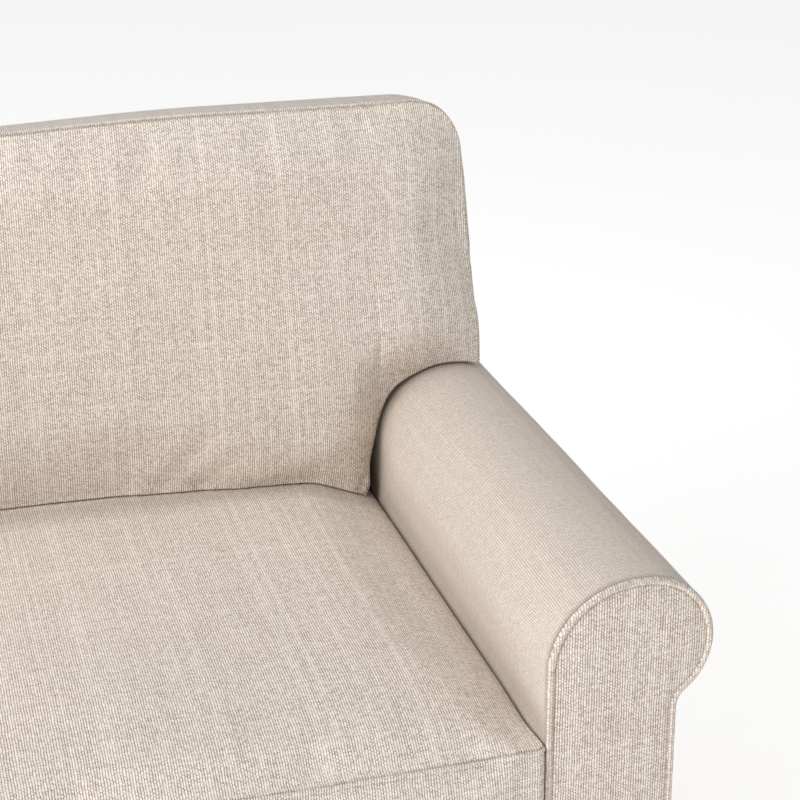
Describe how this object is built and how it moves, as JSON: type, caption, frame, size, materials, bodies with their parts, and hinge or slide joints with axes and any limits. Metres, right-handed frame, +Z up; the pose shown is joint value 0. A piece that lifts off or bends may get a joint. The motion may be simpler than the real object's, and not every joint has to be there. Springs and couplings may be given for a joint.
{
  "type": "loveseat",
  "caption": "Loveseat with rolled arms, piped arm fronts, loose seat cushions and loose back cushions whose ears reach over the arms.",
  "frame": {"origin": "on the floor under the middle of the overall box", "axes": "+X towards the right arm as seen from the front, +Y towards the back, +Z up"},
  "size_m": [1.5478, 0.884, 0.9353],
  "materials": {
    "linen_weave": "slubby linen-look weave, light beige",
    "platform_cloth": "plain woven platform cloth, beige",
    "dust_cloth": "spun-bond non-woven, black",
    "foam": "polyurethane foam and fibre wadding",
    "elastic_webbing": "woven elastic strap",
    "frame_wood": "planed softwood, raw",
    "plywood": "plywood, raw",
    "leg_wood": "turned hardwood, dark walnut stain, satin lacquer",
    "glide_plastic": "moulded polyethylene",
    "zinc_steel": "zinc plated",
    "spring_steel": "drawn wire, oiled",
    "slider_metal": "die cast, painted beige",
    "zip_nylon": "coil zip on woven tape, beige"
  },
  "bodies": {
    "frame": {"arm_cover_left": "linen_weave", "arm_cover_right": "linen_weave", "arm_front_board_left": "plywood", "arm_front_board_right": "plywood", "arm_front_panel_left": "linen_weave", "arm_front_panel_right": "linen_weave", "arm_front_welt_left": "linen_weave", "arm_front_welt_right": "linen_weave", "arm_padding_left": "foam", "arm_padding_right": "foam", "arm_rails_left": "frame_wood", "arm_rails_right": "frame_wood", "back_centre_upright": "frame_wood", "back_post_left": "frame_wood", "back_post_right": "frame_wood", "back_rail": "frame_wood", "back_tack_rail": "frame_wood", "back_top_rail": "frame_wood", "back_webbing": "elastic_webbing", "corner_blocks": "frame_wood", "dust_cover": "dust_cloth", "front_border": "linen_weave", "front_rail": "frame_wood", "inside_back_cover": "linen_weave", "inside_back_pad": "foam", "leg_bolts": "zinc_steel", "leg_centre": "leg_wood", "leg_front_left": "leg_wood", "leg_front_right": "leg_wood", "leg_glides": "glide_plastic", "leg_plates": "zinc_steel", "leg_rear_left": "leg_wood", "leg_rear_right": "leg_wood", "outside_arm_panel_left": "linen_weave", "outside_arm_panel_right": "linen_weave", "outside_back_panel": "linen_weave", "seat_centre_brace": "frame_wood", "seat_deck": "platform_cloth", "seat_springs_left": "spring_steel", "seat_springs_right": "spring_steel", "side_rail_left": "frame_wood", "side_rail_right": "frame_wood", "spring_clips": "spring_steel"},
    "left_seat_cushion": {"seat_cushion_cover_left": "linen_weave", "seat_cushion_filling_left": "foam", "seat_cushion_zip_left": "zip_nylon"},
    "left_back_cushion": {"back_cushion_cover_left": "linen_weave", "back_cushion_filling_left": "foam", "back_cushion_zip_left": "zip_nylon"},
    "left_seat_slider": {"seat_zip_slider_left": "slider_metal"},
    "left_back_slider": {"back_zip_slider_left": "slider_metal"},
    "right_seat_cushion": {"seat_cushion_cover_right": "linen_weave", "seat_cushion_filling_right": "foam", "seat_cushion_zip_right": "zip_nylon"},
    "right_back_cushion": {"back_cushion_cover_right": "linen_weave", "back_cushion_filling_right": "foam", "back_cushion_zip_right": "zip_nylon"},
    "right_seat_slider": {"seat_zip_slider_right": "slider_metal"},
    "right_back_slider": {"back_zip_slider_right": "slider_metal"}
  },
  "joints": [
    {"name": "right_seat_cushion_out", "type": "slide", "parent": "frame", "child": "right_seat_cushion", "axis": [0, -1, 0], "range_m": [0, 0.6]},
    {"name": "right_back_cushion_lift", "type": "slide", "parent": "frame", "child": "right_back_cushion", "axis": [0, 0, 1], "range_m": [0, 0.45]},
    {"name": "right_seat_zip_pull", "type": "slide", "parent": "right_seat_cushion", "child": "right_seat_slider", "axis": [1, 0, 0], "range_m": [0, 0.46]},
    {"name": "right_back_zip_pull", "type": "slide", "parent": "right_back_cushion", "child": "right_back_slider", "axis": [1, 0, 0], "range_m": [0, 0.46]},
    {"name": "left_seat_cushion_out", "type": "slide", "parent": "frame", "child": "left_seat_cushion", "axis": [0, -1, 0], "range_m": [0, 0.6]},
    {"name": "left_back_cushion_lift", "type": "slide", "parent": "frame", "child": "left_back_cushion", "axis": [0, 0, 1], "range_m": [0, 0.45]},
    {"name": "left_seat_zip_pull", "type": "slide", "parent": "left_seat_cushion", "child": "left_seat_slider", "axis": [-1, 0, 0], "range_m": [0, 0.46]},
    {"name": "left_back_zip_pull", "type": "slide", "parent": "left_back_cushion", "child": "left_back_slider", "axis": [-1, 0, 0], "range_m": [0, 0.46]}
  ]
}
